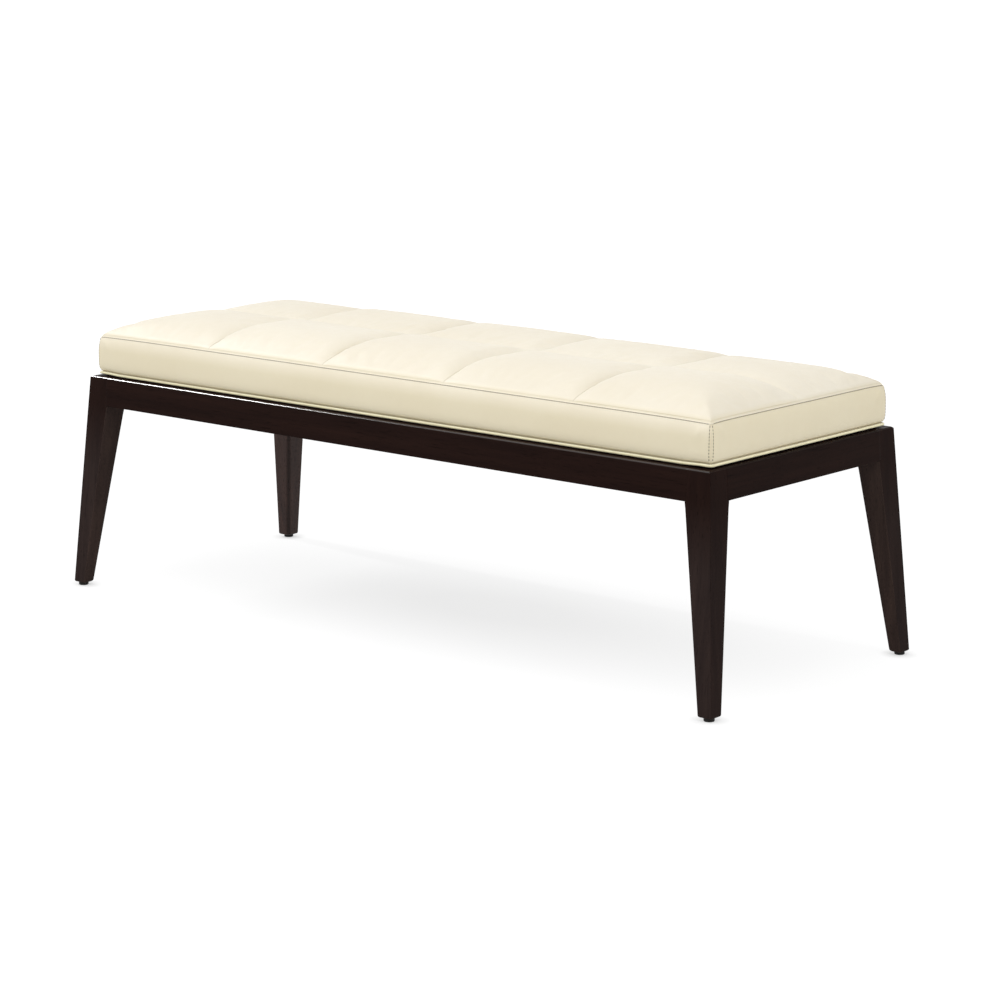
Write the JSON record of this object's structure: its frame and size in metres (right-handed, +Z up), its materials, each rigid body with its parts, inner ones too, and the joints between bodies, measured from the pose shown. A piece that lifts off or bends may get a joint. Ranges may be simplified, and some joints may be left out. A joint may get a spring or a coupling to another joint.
{
  "type": "upholstered bench",
  "caption": "Waiting room bench with a dark wood frame on splayed tapered legs and a boxed leather seat with a puffed, panelled top and a welt.",
  "frame": {"origin": "on the floor, under the middle of the bench: the centre of the bottom of its bounding box", "axes": "+X along the bench, to the right when it is seen from the front, which faces -Y; +Z up"},
  "size_m": [1.269, 0.501, 0.4328],
  "materials": {
    "dark_wood": "espresso stain under a satin lacquer",
    "inner_wood": "planed, unfinished hardwood",
    "plywood": "sanded birch plywood",
    "black_paint": "matt black paint on wood",
    "foam": "open-cell foam",
    "leather": "smooth cream leather, fine grain",
    "welt_leather": "smooth cream leather over a cord",
    "black_cloth": "black non-woven cloth",
    "steel": "zinc-plated steel",
    "glide_plastic": "black nylon"
  },
  "bodies": {
    "root": {"leg_front_left": "dark_wood", "leg_front_right": "dark_wood", "leg_back_left": "dark_wood", "leg_back_right": "dark_wood", "rail_front": "dark_wood", "rail_right": "dark_wood", "rail_back": "dark_wood", "rail_left": "dark_wood", "cross_rail": "inner_wood", "frame_dowels": "inner_wood", "corner_block_front_left": "inner_wood", "corner_block_front_right": "inner_wood", "corner_block_back_left": "inner_wood", "corner_block_back_right": "inner_wood", "corner_block_screws": "steel", "spacer_strip_front": "black_paint", "spacer_strip_right": "black_paint", "spacer_strip_back": "black_paint", "spacer_strip_left": "black_paint", "seat_board": "plywood", "seat_screws": "steel", "dust_cover": "black_cloth", "dust_cover_staples": "steel", "foam_core": "foam", "top_panel_front_1": "leather", "top_panel_front_2": "leather", "top_panel_front_3": "leather", "top_panel_front_4": "leather", "top_panel_front_5": "leather", "top_panel_back_1": "leather", "top_panel_back_2": "leather", "top_panel_back_3": "leather", "top_panel_back_4": "leather", "top_panel_back_5": "leather", "side_band_front": "leather", "side_band_right": "leather", "side_band_back": "leather", "side_band_left": "leather", "welt": "welt_leather", "glide_front_left": "glide_plastic", "glide_front_right": "glide_plastic", "glide_back_left": "glide_plastic", "glide_back_right": "glide_plastic", "glide_screws": "steel"}
  },
  "joints": []
}
